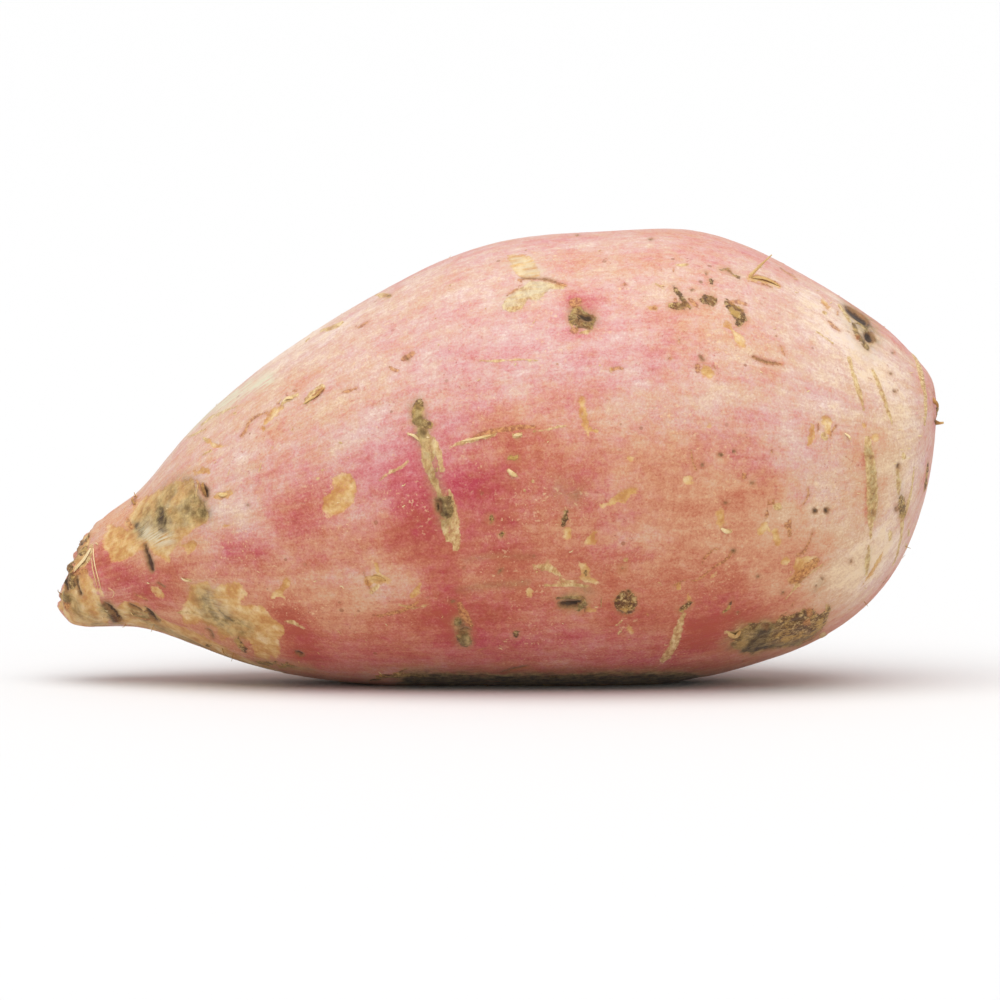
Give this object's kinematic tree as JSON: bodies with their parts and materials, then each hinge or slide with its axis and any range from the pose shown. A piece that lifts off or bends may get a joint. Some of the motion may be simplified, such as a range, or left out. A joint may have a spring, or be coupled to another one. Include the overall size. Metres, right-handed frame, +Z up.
{
  "type": "sweet potato",
  "caption": "Whole raw sweet potato with rose-pink skin, lying on its side: a broken, narrow neck, a thick belly and a blunt tail end with the stub of its tail root.",
  "frame": {"origin": "on the resting surface, under the middle of the root's length and width", "axes": "+X along the length, from the broken neck towards the tail end; +Z up, as it rests"},
  "size_m": [0.1596, 0.0798, 0.0817],
  "materials": {
    "skin": "dry, matt rose-pink skin with ochre and grey-brown corky patches"
  },
  "bodies": {
    "root": {"sweet_potato": "skin"}
  },
  "joints": []
}
